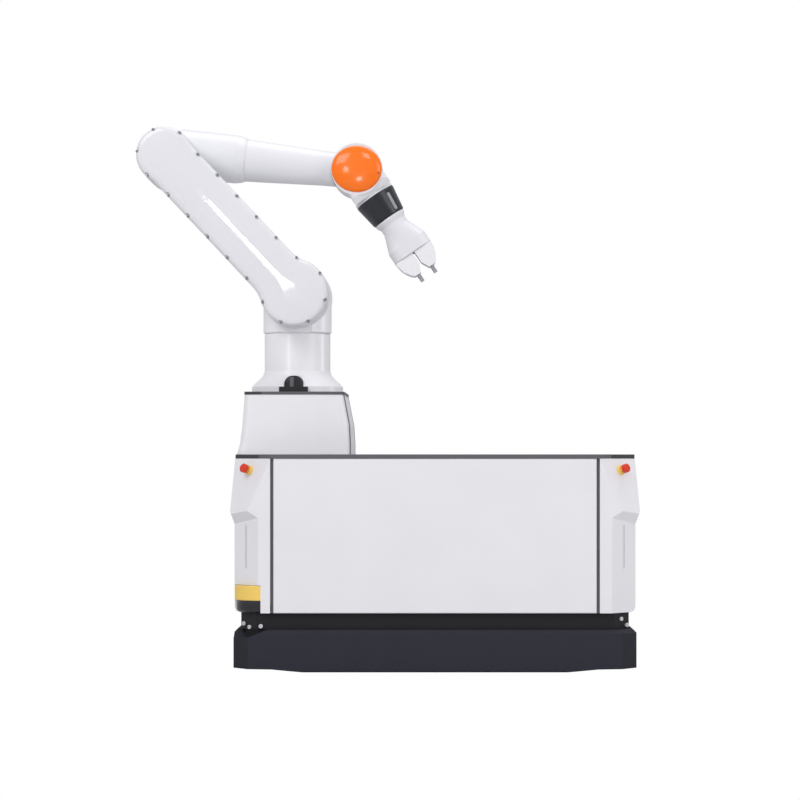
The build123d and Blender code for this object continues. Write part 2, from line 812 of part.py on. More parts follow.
with BuildPart() as gripper_body:
    with BuildSketch(across_hand(body_start)):
        Circle(neck_radius)
    with BuildSketch(across_hand(body_full)):
        RectangleRounded(2 * gripper_half_width, gripper_depth, 34)
    loft(ruled=True)
    with BuildSketch(across_hand(body_full)):
        RectangleRounded(2 * gripper_half_width, gripper_depth, 34)
    extrude(amount=body_end - body_full)
    with BuildSketch(hand_plane):
        with BuildLine():
            Polyline(
                (ring_end, 0),
                (ring_end, ring_bottom_radius - 3),
                (ring_end + 5, ring_bottom_radius - 2),
                (ring_end + 20, neck_radius),
                (body_start, neck_radius),
                (body_start, 0),
                close=True,
            )
        make_face()
    revolve(axis=hand_axis)

with BuildPart() as jaw_right:
    with BuildSketch(hand_plane.offset(-jaw_depth / 2)):
        with BuildLine():
            Polyline(
                (jaw_start, jaw_meet),
                (jaw_start, gripper_half_width - 1),
                (jaw_start + 14, gripper_half_width - 2.5),
            )
            ThreePointArc(
                (jaw_start + 14, gripper_half_width - 2.5),
                (jaw_start + 45, gripper_half_width - 13),
                (jaw_end, finger_spacing + tip_width),
            )
            Polyline(
                (jaw_end, finger_spacing + tip_width),
                (jaw_end, jaw_inner),
                (jaw_end - jaw_notch_length, jaw_meet),
                (jaw_start, jaw_meet),
            )
        make_face()
    extrude(amount=jaw_depth)

with BuildPart() as jaw_left:
    mirror(jaw_right.part, about=Plane(origin=hand_plane.origin, z_dir=across_hand(0).x_dir))

with BuildPart() as tip_right:
    with BuildSketch(across_hand(jaw_end)):
        with Locations((finger_spacing, 0)):
            RectangleRounded(tip_width, tip_depth, 3)
    extrude(amount=tip_length)

with BuildPart() as tip_left:
    mirror(tip_right.part, about=Plane(origin=hand_plane.origin, z_dir=across_hand(0).x_dir))

# Names and files
pieces = {
    "base_pan": base_pan,
    "drive_wheels": drive_wheels,
    "caster_wheels": caster_wheels,
    "bumper_skirt": bumper_skirt,
    "neck_band": neck_band,
    "body_frame": body_frame,
    "side_panel_front": side_panel_front,
    "side_panel_rear": side_panel_rear,
    "end_panel_left": end_panel_left,
    "end_panel_right": end_panel_right,
    "corner_cover_front_left": corner_cover_front_left,
    "corner_cover_front_right": corner_cover_front_right,
    "corner_cover_rear_left": corner_cover_rear_left,
    "corner_cover_rear_right": corner_cover_rear_right,
    "scanner_bodies": scanner_bodies,
    "scanner_optics": scanner_optics,
    "status_lights": status_lights,
    "estop_bases": estop_bases,
    "estop_caps": estop_caps,
    "deck_plate": deck_plate,
    "pedestal_base_plate": pedestal_base_plate,
    "pedestal_shell": pedestal_shell,
    "pedestal_side_panel": pedestal_side_panel,
    "pedestal_top_plate": pedestal_top_plate,
    "arm_base": arm_base,
    "base_connector": base_connector,
    "shoulder_housing": shoulder_housing,
    "shoulder_rear_cap": shoulder_rear_cap,
    "upper_arm_housing": upper_arm_housing,
    "upper_arm_cover": upper_arm_cover,
    "elbow_housing": elbow_housing,
    "elbow_rear_cap": elbow_rear_cap,
    "forearm_tube": forearm_tube,
    "wrist_rear_cap": wrist_rear_cap,
    "hand_body": hand_body,
    "wrist_cap": wrist_cap,
    "control_ring": control_ring,
    "gripper_body": gripper_body,
    "jaw_left": jaw_left,
    "jaw_right": jaw_right,
    "jaw_tip_left": tip_left,
    "jaw_tip_right": tip_right,
}
for label, piece in pieces.items():
    piece.part.label = label
    export_step(piece.part, f"parts/{label}.step")
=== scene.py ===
import json
from math import atan2, cos, pi, radians, sin, sqrt

import bmesh
import bpy
from mathutils import Matrix, Vector


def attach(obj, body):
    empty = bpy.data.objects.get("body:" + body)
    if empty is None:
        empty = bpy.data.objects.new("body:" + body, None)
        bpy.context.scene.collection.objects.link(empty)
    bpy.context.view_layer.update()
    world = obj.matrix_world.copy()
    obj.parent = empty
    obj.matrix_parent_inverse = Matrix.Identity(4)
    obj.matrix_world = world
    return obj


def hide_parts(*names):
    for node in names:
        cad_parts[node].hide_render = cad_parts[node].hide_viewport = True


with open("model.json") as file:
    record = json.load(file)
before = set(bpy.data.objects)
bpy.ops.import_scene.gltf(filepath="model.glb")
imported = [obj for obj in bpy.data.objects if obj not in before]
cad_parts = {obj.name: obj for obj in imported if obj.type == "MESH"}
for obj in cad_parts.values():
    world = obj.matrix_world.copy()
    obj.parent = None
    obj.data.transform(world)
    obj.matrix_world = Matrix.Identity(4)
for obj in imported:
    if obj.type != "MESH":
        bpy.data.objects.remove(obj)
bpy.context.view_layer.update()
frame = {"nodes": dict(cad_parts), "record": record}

nodes = frame["nodes"]

# Sizes shared with the construction, in metres
half_length = 0.6075
half_width = 0.36
arm_x = -0.432
column_radius = 0.103
shoulder_z = 1.157
link_length = 0.5795
link_rest_angle = radians(133.2)
shoulder_end_radius = 0.104
elbow_end_radius = 0.086
waist_half_width = 0.08
waist_blend = 0.12
cover_screw_count = 20
wrist = Vector((-0.244, 0.0, 1.5505))
hand_angle = radians(55.5)
gripper_half_width = 0.067
gripper_half_depth = 0.042
scanner_size = 0.084


# Finishes
def linear(value):
    """One sRGB channel from 0 to 255 as a linear value."""
    c = value / 255.0
    return c / 12.92 if c <= 0.04045 else ((c + 0.055) / 1.055) ** 2.4


def colour(r, g, b):
    return (linear(r), linear(g), linear(b), 1.0)


def scaled(base, factor):
    """A lighter or darker version of a colour, never past white."""
    return tuple(min(1.0, c * factor) for c in base[:3]) + (1.0,)


def calculate(tree, operation, first, second=None):
    """A math node fed by one socket and by a socket or a number."""
    math_node = tree.nodes.new("ShaderNodeMath")
    math_node.operation = operation
    tree.links.new(first, math_node.inputs[0])
    if isinstance(second, float):
        math_node.inputs[1].default_value = second
    elif second is not None:
        tree.links.new(second, math_node.inputs[1])
    return math_node.outputs["Value"]


def blended(tree, factor, first, second):
    """A first colour socket that turns to a second, fixed colour with a factor."""
    mix = tree.nodes.new("ShaderNodeMix")
    mix.data_type = "RGBA"
    mix.inputs["B"].default_value = second
    tree.links.new(factor, mix.inputs["Factor"])
    tree.links.new(first, mix.inputs["A"])
    return mix.outputs["Result"]


def noise(tree, place, scale, detail):
    pattern = tree.nodes.new("ShaderNodeTexNoise")
    pattern.inputs["Scale"].default_value = scale
    pattern.inputs["Detail"].default_value = detail
    tree.links.new(place.outputs["Object"], pattern.inputs["Vector"])
    return pattern.outputs["Fac"]


def worn_edges(tree, painted, base, wear):
    """Paint rubbed lighter along the sharp edges."""
    geometry = tree.nodes.new("ShaderNodeNewGeometry")
    edge = tree.nodes.new("ShaderNodeValToRGB")
    edge.color_ramp.elements[0].position = 0.5
    edge.color_ramp.elements[1].position = 0.62
    tree.links.new(geometry.outputs["Pointiness"], edge.inputs["Fac"])
    return blended(tree, edge.outputs["Color"], painted, scaled(base, 1.0 + wear))


def painted_shade_ends(tree, place, painted, ends):
    """Painted shade: a darker colour on the upright faces past a distance from the middle along X."""
    distance, painted_shade_colour = ends
    border = 0.001
    split = tree.nodes.new("ShaderNodeSeparateXYZ")
    tree.links.new(place.outputs["Object"], split.inputs["Vector"])
    beyond = tree.nodes.new("ShaderNodeMapRange")
    beyond.inputs["From Min"].default_value = distance - border
    beyond.inputs["From Max"].default_value = distance + border
    tree.links.new(calculate(tree, "ABSOLUTE", split.outputs["X"]), beyond.inputs["Value"])
    geometry = tree.nodes.new("ShaderNodeNewGeometry")
    tilt = tree.nodes.new("ShaderNodeSeparateXYZ")
    tree.links.new(geometry.outputs["Normal"], tilt.inputs["Vector"])
    upright = calculate(tree, "LESS_THAN", calculate(tree, "ABSOLUTE", tilt.outputs["Z"]), 0.5)
    chosen = calculate(tree, "MULTIPLY", beyond.outputs["Result"], upright)
    return blended(tree, chosen, painted, painted_shade_colour)


def finish_material(
    name,
    base,
    rough,
    grain=900.0,
    bump=0.02,
    spread=0.05,
    metal=0.0,
    coat=0.0,
    coat_rough=0.12,
    wear=0.0,
    shine=0.5,
    ends=None,
):
    """A painted, moulded or metal finish: fine grain, and slow drift in colour and roughness.

    ends is a distance from the middle along X and the colour of the painted shade on the upright faces beyond
    it.
    """
    drift_scale = 6.0
    drift_low = 0.3
    drift_high = 0.7
    relief_depth = 0.0006
    material = bpy.data.materials.new(name)
    material.use_nodes = True
    tree = material.node_tree
    shader = tree.nodes["Principled BSDF"]
    shader.inputs["Metallic"].default_value = metal
    shader.inputs["Coat Weight"].default_value = coat
    shader.inputs["Coat Roughness"].default_value = coat_rough
    shader.inputs["Specular IOR Level"].default_value = shine
    place = tree.nodes.new("ShaderNodeTexCoord")

    drift = noise(tree, place, drift_scale, detail=4.0)
    tint = tree.nodes.new("ShaderNodeValToRGB")
    low, high = tint.color_ramp.elements
    low.position = drift_low
    low.color = scaled(base, 1.0 - spread)
    high.position = drift_high
    high.color = scaled(base, 1.0 + spread * 0.6)
    tree.links.new(drift, tint.inputs["Fac"])
    painted = tint.outputs["Color"]
    if wear > 0.0:
        painted = worn_edges(tree, painted, base, wear)
    if ends is not None:
        painted = painted_shade_ends(tree, place, painted, ends)
    tree.links.new(painted, shader.inputs["Base Color"])

    relief = tree.nodes.new("ShaderNodeBump")
    relief.inputs["Strength"].default_value = bump
    relief.inputs["Distance"].default_value = relief_depth
    tree.links.new(noise(tree, place, grain, detail=2.0), relief.inputs["Height"])
    tree.links.new(relief.outputs["Normal"], shader.inputs["Normal"])

    gloss = tree.nodes.new("ShaderNodeMapRange")
    gloss.inputs["From Min"].default_value = drift_low
    gloss.inputs["From Max"].default_value = drift_high
    gloss.inputs["To Min"].default_value = rough - 0.04
    gloss.inputs["To Max"].default_value = rough + 0.05
    tree.links.new(drift, gloss.inputs["Value"])
    tree.links.new(gloss.outputs["Result"], shader.inputs["Roughness"])
    return material


# White paint and plastic
panel_white = finish_material("panel_white", colour(230, 229, 232), 0.46, grain=1400, bump=0.05, spread=0.015)
cover_white = finish_material(
    "cover_white", colour(235, 234, 237), 0.34, grain=1800, bump=0.03, spread=0.012, coat=0.15
)
arm_white = finish_material(
    "arm_white", colour(224, 224, 228), 0.42, grain=1500, bump=0.02, spread=0.012, coat=0.2
)
ridge_white = finish_material(
    "ridge_white", colour(224, 224, 228), 0.42, grain=1500, bump=0.003, spread=0.012, coat=0.4, coat_rough=0.045
)
# A lighter copy of the arm white: painted light that makes up for the shade the arm casts on the column
column_lit_white = finish_material(
    "column_lit_white", colour(240, 240, 243), 0.4, grain=1500, bump=0.03, spread=0.012, coat=0.2
)
light_strip = finish_material(
    "light_strip", colour(212, 213, 218), 0.2, grain=900, bump=0.02, spread=0.02, coat=0.3
)

# Dark metal, plastic and rubber
# Past these distances from the middle, the upright end faces of the deck and skirt get painted shade
deck_shade_start = 0.531
skirt_shade_start = 0.5615
deck_grey = finish_material(
    "deck_grey",
    colour(84, 85, 90),
    0.5,
    grain=1200,
    bump=0.12,
    spread=0.08,
    wear=0.15,
    ends=(deck_shade_start, colour(54, 54, 60)),
)
chassis_dark = finish_material(
    "chassis_dark", colour(31, 31, 35), 0.55, grain=900, bump=0.15, spread=0.08, shine=0.25
)
bumper_dark = finish_material(
    "bumper_dark",
    colour(41, 42, 52),
    0.62,
    grain=2200,
    bump=0.25,
    spread=0.06,
    shine=0.25,
    ends=(skirt_shade_start, colour(34, 35, 42)),
)
tyre_rubber = finish_material("tyre_rubber", colour(42, 42, 44), 0.8, grain=1500, bump=0.3, spread=0.1)
scanner_black = finish_material(
    "scanner_black", colour(30, 30, 36), 0.22, grain=700, bump=0.02, spread=0.05, coat=0.3
)
smoked = finish_material("smoked", colour(26, 26, 32), 0.14, grain=600, bump=0.01, spread=0.04, coat=0.12)
connector_black = finish_material(
    "connector_black", colour(30, 30, 34), 0.4, grain=1500, bump=0.12, spread=0.08
)
ring_black = finish_material("ring_black", colour(28, 32, 38), 0.3, grain=1500, bump=0.1, spread=0.06)
# Dark grey of the joints, also used for the painted shade on the pedestal's end face edges
seam_and_shade_dark = finish_material("seam_and_shade_dark", colour(104, 104, 110), 0.6, grain=900, bump=0.1, spread=0.06)

# Signal colours
scanner_yellow = finish_material(
    "scanner_yellow", colour(243, 205, 100), 0.4, grain=1500, bump=0.05, spread=0.03
)
stop_red = finish_material("stop_red", colour(216, 50, 12), 0.34, grain=1500, bump=0.04, spread=0.04)
cap_orange = finish_material(
    "cap_orange", colour(255, 117, 2), 0.32, grain=1600, bump=0.02, spread=0.03, coat=0.6, shine=0.15
)
cap_mark = finish_material("cap_mark", colour(186, 82, 24), 0.4, grain=1200, bump=0.05, spread=0.05)

# Greys of the small pieces
ring_grey = finish_material("ring_grey", colour(150, 151, 156), 0.4, grain=1500, bump=0.08, spread=0.04)
seam_grey = finish_material("seam_grey", colour(186, 187, 192), 0.5, grain=1200, bump=0.05, spread=0.04)
tip_grey = finish_material("tip_grey", colour(172, 173, 178), 0.5, grain=1600, bump=0.2, spread=0.1)
# Grey of the painted reflection down the base connector's front
reflection_grey = finish_material("reflection_grey", colour(96, 96, 102), 0.4, grain=1200, bump=0.08, spread=0.06)
screw_steel = finish_material(
    "screw_steel", colour(158, 158, 163), 0.36, grain=700, bump=0.05, spread=0.08, metal=0.3
)
# Zinc of the neck fittings: partly their own metal colour, partly painted glint
zinc_and_glint = finish_material(
    "zinc_and_glint", colour(222, 222, 226), 0.3, grain=700, bump=0.05, spread=0.06, metal=0.3
)

finish_of_slot = {
    "panel_white": panel_white,
    "arm_white": arm_white,
    "cover_white": cover_white,
    "deck_grey": deck_grey,
    "chassis_dark": chassis_dark,
    "bumper_dark": bumper_dark,
    "tyre_rubber": tyre_rubber,
    "scanner_yellow": scanner_yellow,
    "scanner_black": scanner_black,
    "light_strip": light_strip,
    "stop_red": stop_red,
    "connector_black": connector_black,
    "cap_orange": cap_orange,
    "ring_black": ring_black,
}
finish_of_node = {
    "jaw_tip_left": tip_grey,
    "jaw_tip_right": tip_grey,
    "body_frame": seam_and_shade_dark,
    "pedestal_side_panel": cover_white,
    "arm_base": column_lit_white,
    "shoulder_housing": column_lit_white,
    "upper_arm_cover": ridge_white,
    "gripper_body": arm_white,
}
for part in frame["record"]["subparts"]:
    shown = nodes[part["node"]]
    shown.data.materials.clear()
    shown.data.materials.append(finish_of_node.get(part["node"], finish_of_slot[part["material_slot"]]))


# Mesh helpers
def soften(names, width, segments):
    """Rounds the hard edges of castings and panels a little."""
    for name in names:
        edge = nodes[name].modifiers.new("soft_edges", "BEVEL")
        edge.width = width
        edge.segments = segments
        edge.limit_method = "ANGLE"
        edge.angle_limit = radians(28)
        edge.harden_normals = True


def new_piece(name, bm, body, material, smooth=True):
    """A finished piece that rides on a body, smooth except at its sharp edges."""
    bmesh.ops.recalc_face_normals(bm, faces=bm.faces)
    mesh = bpy.data.meshes.new(name)
    bm.to_mesh(mesh)
    bm.free()
    piece = bpy.data.objects.new(name, mesh)
    bpy.context.scene.collection.objects.link(piece)
    mesh.materials.append(material)
    if smooth:
        for face in mesh.polygons:
            face.use_smooth = True
        mesh.set_sharp_from_angle(angle=radians(35))
    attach(piece, body)
    return piece


def facing(direction):
    """Rotation that turns +Z to a direction."""
    return Vector(direction).normalized().to_track_quat("Z", "Y").to_matrix().to_4x4()


def disc(bm, centre, direction, radius, height, segments, top=None):
    """A round boss from a face outwards, narrower at its top when one is given."""
    place = Matrix.Translation(Vector(centre)) @ facing(direction) @ Matrix.Translation((0, 0, height / 2))
    bmesh.ops.create_cone(
        bm,
        cap_ends=True,
        segments=segments,
        radius1=radius,
        radius2=radius if top is None else top,
        depth=height,
        matrix=place,
    )


def socket_screw(bm, centre, direction, radius, height):
    """A screw head with a chamfered edge and a sunk round socket, in shares of its size."""
    chamfer = 0.12
    chamfer_rise = 0.1
    socket_inset = 0.36
    socket_depth = 0.55
    place = Matrix.Translation(Vector(centre)) @ facing(direction)
    foot = bmesh.ops.create_circle(bm, cap_ends=True, segments=20, radius=radius, matrix=place)
    axis = Vector(direction).normalized()
    head = bmesh.ops.extrude_face_region(bm, geom=[foot["verts"][0].link_faces[0]])
    top_verts = [g for g in head["geom"] if isinstance(g, bmesh.types.BMVert)]
    bmesh.ops.translate(bm, verts=top_verts, vec=axis * height)
    top = [g for g in head["geom"] if isinstance(g, bmesh.types.BMFace)][0]
    bmesh.ops.inset_region(bm, faces=[top], thickness=radius * chamfer, depth=radius * chamfer_rise)
    bmesh.ops.inset_region(bm, faces=[top], thickness=radius * socket_inset)
    sunk = bmesh.ops.extrude_face_region(bm, geom=[top])
    low = [g for g in sunk["geom"] if isinstance(g, bmesh.types.BMVert)]
    bmesh.ops.translate(bm, verts=low, vec=axis * (-height * socket_depth))
    bmesh.ops.delete(bm, geom=[top], context="FACES")


def slab(bm, size, place, corner, segments=6):
    """A flat block with rounded corners seen along its own Y axis."""
    made = bmesh.ops.create_cube(bm, size=1.0, matrix=Matrix.Diagonal((*size, 1.0)))
    edges = {e for v in made["verts"] for e in v.link_edges}
    across = [e for e in edges if abs((e.verts[0].co - e.verts[1].co).normalized().y) > 0.9]
    rounded = bmesh.ops.bevel(bm, geom=across, offset=corner, segments=segments, affect="EDGES", profile=0.5)
    verts = list({v for f in rounded["faces"] for v in f.verts})
    bmesh.ops.transform(bm, matrix=place, verts=verts)


# Camera at the photograph's angle, level with the deck, with the frame's size at the platform's near side
view_distance = 7.5
frame_width = 2.4
camera_height = 0.657
frame_pixels = 800.0
pixels_left = 35
pixels_up = 56
camera_data = bpy.data.cameras.new("photo_camera")
camera = bpy.data.objects.new("photo_camera", camera_data)
bpy.context.scene.collection.objects.link(camera)
camera.location = (0.0, -half_width - view_distance, camera_height)
camera.rotation_euler = (radians(90), 0.0, 0.0)
camera_data.sensor_width = 36.0
camera_data.lens = camera_data.sensor_width * view_distance / frame_width
camera_data.shift_x = -pixels_left / frame_pixels
camera_data.shift_y = pixels_up / frame_pixels
camera_data.clip_end = 60.0
bpy.context.scene.camera = camera


# Floor and world: white to the camera, softer to everything that they light
def white_to_camera(tree, lighting, output, white):
    """Shows plain white to the camera and the lighting shader to all other rays."""
    rays = tree.nodes.new("ShaderNodeLightPath")
    mix = tree.nodes.new("ShaderNodeMixShader")
    tree.links.new(rays.outputs["Is Camera Ray"], mix.inputs["Fac"])
    tree.links.new(lighting, mix.inputs[1])
    tree.links.new(white, mix.inputs[2])
    tree.links.new(mix.outputs["Shader"], tree.nodes[output].inputs["Surface"])


floor_bm = bmesh.new()
bmesh.ops.create_grid(floor_bm, x_segments=1, y_segments=1, size=30.0)
floor_mesh = bpy.data.meshes.new("studio_floor")
floor_bm.to_mesh(floor_mesh)
floor_bm.free()
floor = bpy.data.objects.new("studio_floor", floor_mesh)
bpy.context.scene.collection.objects.link(floor)
floor_material = bpy.data.materials.new("studio_floor")
floor_material.use_nodes = True
floor_tree = floor_material.node_tree
floor_shader = floor_tree.nodes["Principled BSDF"]
floor_shader.inputs["Base Color"].default_value = (0.66, 0.66, 0.66, 1.0)
floor_shader.inputs["Roughness"].default_value = 0.9
floor_glow = floor_tree.nodes.new("ShaderNodeEmission")
floor_glow.inputs["Color"].default_value = (1.0, 1.0, 1.0, 1.0)
floor_glow.inputs["Strength"].default_value = 1.0
white_to_camera(floor_tree, floor_shader.outputs["BSDF"], "Material Output", floor_glow.outputs["Emission"])
floor_mesh.materials.append(floor_material)

world = bpy.data.worlds.new("studio")
bpy.context.scene.world = world
world.use_nodes = True
sky_tree = world.node_tree
sky = sky_tree.nodes["Background"]
sky.inputs["Color"].default_value = (0.96, 0.96, 1.0, 1.0)
sky.inputs["Strength"].default_value = 0.62
white_sky = sky_tree.nodes.new("ShaderNodeBackground")
white_sky.inputs["Color"].default_value = (1.0, 1.0, 1.0, 1.0)
white_sky.inputs["Strength"].default_value = 1.0
white_to_camera(sky_tree, sky.outputs["Background"], "World Output", white_sky.outputs["Background"])


# Lamps
def soft_light(name, place, target, size, power):
    lamp = bpy.data.lights.new(name, "AREA")
    lamp.shape = "RECTANGLE"
    lamp.size, lamp.size_y = size
    lamp.energy = power
    holder = bpy.data.objects.new(name, lamp)
    holder.location = place
    aim = Vector(target) - Vector(place)
    holder.rotation_euler = aim.to_track_quat("-Z", "Y").to_euler()
    bpy.context.scene.collection.objects.link(holder)
    return holder


def highlight(name, receivers, spot, normal, distance, size, power, spin=0.0):
    """A lamp that only shows as a reflection in some pieces.

    The camera sees the reflection at a spot with a given normal.
    """
    normal = Vector(normal).normalized()
    sight = (spot - camera.location).normalized()
    mirrored = sight - 2.0 * sight.dot(normal) * normal
    holder = soft_light(name, spot + mirrored * distance, spot, size, power)
    holder.rotation_euler.rotate_axis("Z", spin)
    holder.visible_diffuse = False
    holder.visible_camera = False
    lit = bpy.data.collections.new(name)
    for receiver in receivers:
        lit.objects.link(receiver)
    holder.light_linking.receiver_collection = lit


soft_light("key_light", (-3.0, -4.5, 4.2), (-0.2, 0, 0.9), size=(3.0, 2.2), power=112)
soft_light("fill_light", (4.5, -3.5, 2.2), (0, 0, 0.7), size=(2.5, 2.5), power=62)
soft_light("top_light", (0.3, 0.5, 5.0), (0, 0, 0.8), size=(3.5, 2.5), power=60)
front_light = soft_light("front_light", (0.4, -7.5, 1.6), (-0.2, 0, 0.9), size=(4.0, 2.5), power=38)
front_light.visible_glossy = False
bpy.context.scene.view_settings.view_transform = "Standard"

# Upper arm: its own axes, along the link and across it
link_along = Vector((cos(link_rest_angle), 0.0, sin(link_rest_angle)))
link_across = Vector((-sin(link_rest_angle), 0.0, cos(link_rest_angle)))
shoulder = Vector((arm_x, 0.0, shoulder_z))


def on_arm(x, y, depth):
    return shoulder + link_along * x + link_across * y + Vector((0.0, depth, 0.0))


def arm_rim(inset):
    """Points of the upper arm's outline in its own plane at an inset, closely spaced."""
    end_steps = 60
    blend_steps = 12
    line_steps = 40
    waist = waist_half_width - inset
    ends = []
    for radius in (shoulder_end_radius - inset, elbow_end_radius - inset):
        reach = sqrt((radius + waist_blend) ** 2 - (waist + waist_blend) ** 2)
        ends.append((radius, reach, atan2(waist + waist_blend, reach)))
    (near_radius, near_reach, near_angle), (far_radius, far_reach, far_angle) = ends
    near_x = near_reach
    far_x = link_length - far_reach
    blend_y = waist + waist_blend
    path = []
    for i in range(end_steps):
        t = near_angle + (2 * pi - 2 * near_angle) * i / end_steps
        path.append((near_radius * cos(t), near_radius * sin(t)))
    for i in range(blend_steps):
        t = near_angle + (pi / 2 - near_angle) * i / blend_steps
        path.append((near_x - waist_blend * cos(t), -blend_y + waist_blend * sin(t)))
    for i in range(line_steps):
        path.append((near_x + (far_x - near_x) * i / line_steps, -waist))
    for i in range(blend_steps):
        t = pi / 2 - (pi / 2 - far_angle) * i / blend_steps
        path.append((far_x + waist_blend * cos(t), -blend_y + waist_blend * sin(t)))
    for i in range(end_steps):
        t = far_angle - pi + (2 * pi - 2 * far_angle) * i / end_steps
        path.append((link_length + far_radius * cos(t), far_radius * sin(t)))
    for i in range(blend_steps):
        t = far_angle + (pi / 2 - far_angle) * i / blend_steps
        path.append((far_x + waist_blend * cos(t), blend_y - waist_blend * sin(t)))
    for i in range(line_steps):
        path.append((far_x - (far_x - near_x) * i / line_steps, waist))
    for i in range(blend_steps):
        t = pi / 2 - (pi / 2 - near_angle) * i / blend_steps
        path.append((near_x - waist_blend * cos(t), blend_y - waist_blend * sin(t)))
    return path


def along(path, share):
    """Point at a share of a closed path's length."""
    stretches = [(Vector(a), Vector(b)) for a, b in zip(path, path[1:] + path[:1])]
    left = (share % 1.0) * sum((b - a).length for a, b in stretches)
    for a, b in stretches:
        step = (b - a).length
        if left <= step:
            return a.lerp(b, left / step if step else 0.0)
        left -= step
    return Vector(path[0])


# Upper arm: the row of screws in the notches of its cover
screw_face_y = -0.2195
screw_inset = 0.0035
screw_radius = 0.0042
screw_height = 0.005
first_screw = 0.03
screw_path = arm_rim(screw_inset)
screw_bm = bmesh.new()
for number in range(cover_screw_count):
    x, y = along(screw_path, (number + first_screw) / cover_screw_count)
    socket_screw(screw_bm, on_arm(x, y, screw_face_y), (0, -1, 0), screw_radius, screw_height)
new_piece("cover_screws", screw_bm, "upper_arm", screw_steel)

# Upper arm: the light streak along the ridge of its cover
ridge_y = -0.235
streak_at = 0.205
highlight(
    "ridge_streak",
    [nodes["upper_arm_cover"]],
    on_arm(streak_at, 0.0, ridge_y),
    (0, -1, 0),
    distance=7.9,
    size=(0.74, 0.035),
    power=9,
    spin=link_rest_angle,
)

# Column: the two upright reflections down its front
column_streak_z = 0.98
for name, share in (("column_left", -0.21), ("column_right", 0.785)):
    normal = Vector((share, -sqrt(1.0 - share**2), 0.0))
    spot = Vector((arm_x, 0.0, column_streak_z)) + normal * column_radius
    column = [nodes["arm_base"], nodes["shoulder_housing"]]
    highlight(name, column, spot, normal, distance=6.0, size=(0.8, 2.4), power=60)

# Orange cap: a moulded dome, a little wider than high
cap_seat_y = -0.078
cap_half_width = 0.0785
cap_half_height = 0.0722
cap_rise = 0.0205
cap_foot = 0.0001
cap_centre = wrist + Vector((0.0, cap_seat_y, 0.0))


def on_cap(x, z):
    """Point and normal of the cap at a distance from its middle."""
    left = 1.0 - (x / cap_half_width) ** 2 - (z / cap_half_height) ** 2
    depth = cap_rise * sqrt(left)
    normal = Vector((x / cap_half_width**2, -depth / cap_rise**2, z / cap_half_height**2)).normalized()
    return cap_centre + Vector((x, -depth, z)), normal


cap_bm = bmesh.new()
bmesh.ops.create_uvsphere(
    cap_bm,
    u_segments=128,
    v_segments=64,
    radius=1.0,
    matrix=Matrix.Translation(cap_centre)
    @ Matrix.Diagonal((cap_half_width, cap_rise, cap_half_height, 1.0))
    @ Matrix.Rotation(pi / 2, 4, "X"),
)
bmesh.ops.bisect_plane(
    cap_bm,
    geom=cap_bm.verts[:] + cap_bm.edges[:] + cap_bm.faces[:],
    plane_co=cap_centre + Vector((0.0, -cap_foot, 0.0)),
    plane_no=(0.0, 1.0, 0.0),
    clear_outer=True,
)
bmesh.ops.holes_fill(cap_bm, edges=[e for e in cap_bm.edges if e.is_boundary])
cap_piece = new_piece("wrist_cap_dome", cap_bm, "hand", cap_orange)
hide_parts("wrist_cap")

# Orange cap: the small mark near its edge and its three highlights
mark_radius = 0.0042
mark_top_radius = 0.0036
mark_height = 0.0016
mark_sink = 0.001
mark_spot, mark_normal = on_cap(0.068, -0.0124)
mark_bm = bmesh.new()
mark_start = mark_spot - mark_normal * mark_sink
disc(mark_bm, mark_start, mark_normal, mark_radius, mark_height, 20, mark_top_radius)
new_piece("wrist_cap_mark", mark_bm, "hand", cap_mark)
for name, x, z, distance, size in (
    ("cap_upper", 0.031, 0.040, 6.0, (1.1, 1.3)),
    ("cap_left", -0.034, -0.003, 7.0, (0.8, 1.0)),
    ("cap_lower", 0.009, -0.034, 6.0, (0.7, 1.0)),
):
    spot, normal = on_cap(x, z)
    highlight(name, [cap_piece], spot, normal, distance, size, power=34)

# Hand: its own frame has X across it, Y towards the camera side and Z along it
hand_along = Vector((cos(hand_angle), 0.0, -sin(hand_angle)))
hand_across = Vector((sin(hand_angle), 0.0, cos(hand_angle)))
hand_frame = Matrix.Translation(wrist) @ Matrix(
    (
        (hand_across.x, 0.0, hand_along.x, 0.0),
        (0.0, -1.0, 0.0, 0.0),
        (hand_across.z, 0.0, hand_along.z, 0.0),
        (0.0, 0.0, 0.0, 1.0),
    )
)

# Collar of the last axis: its seam line above the ring
collar_radius = 0.066
collar_seam_at = 0.0905
collar_seam_width = 0.0014
seam_stand = 0.0002
collar_bm = bmesh.new()
seam_start = wrist + hand_along * collar_seam_at
disc(collar_bm, seam_start, hand_along, collar_radius + seam_stand, collar_seam_width, 96)
new_piece("collar_seam", collar_bm, "hand", seam_grey)

# Control ring: a light grey strip along its side
ring_top = 0.1
ring_foot = 0.174
ring_top_radius = 0.067
ring_foot_radius = 0.055
ring_strip_size = (0.011, 0.0018, 0.058)
ring_strip_corner = 0.0045
ring_strip_middle = 0.141
ring_strip_turn = radians(37)
ring_taper = (ring_top_radius - ring_foot_radius) / (ring_foot - ring_top)
ring_strip_radius = ring_top_radius - (ring_strip_middle - ring_top) * ring_taper
ring_strip_bm = bmesh.new()
ring_strip_place = (
    hand_frame
    @ Matrix.Rotation(-ring_strip_turn, 4, "Z")
    @ Matrix.Translation((0.0, ring_strip_radius, ring_strip_middle))
    @ Matrix.Rotation(atan2(ring_top_radius - ring_foot_radius, ring_foot - ring_top), 4, "X")
)
slab(ring_strip_bm, ring_strip_size, ring_strip_place, ring_strip_corner)
new_piece("ring_grey_strip", ring_strip_bm, "gripper", ring_grey)

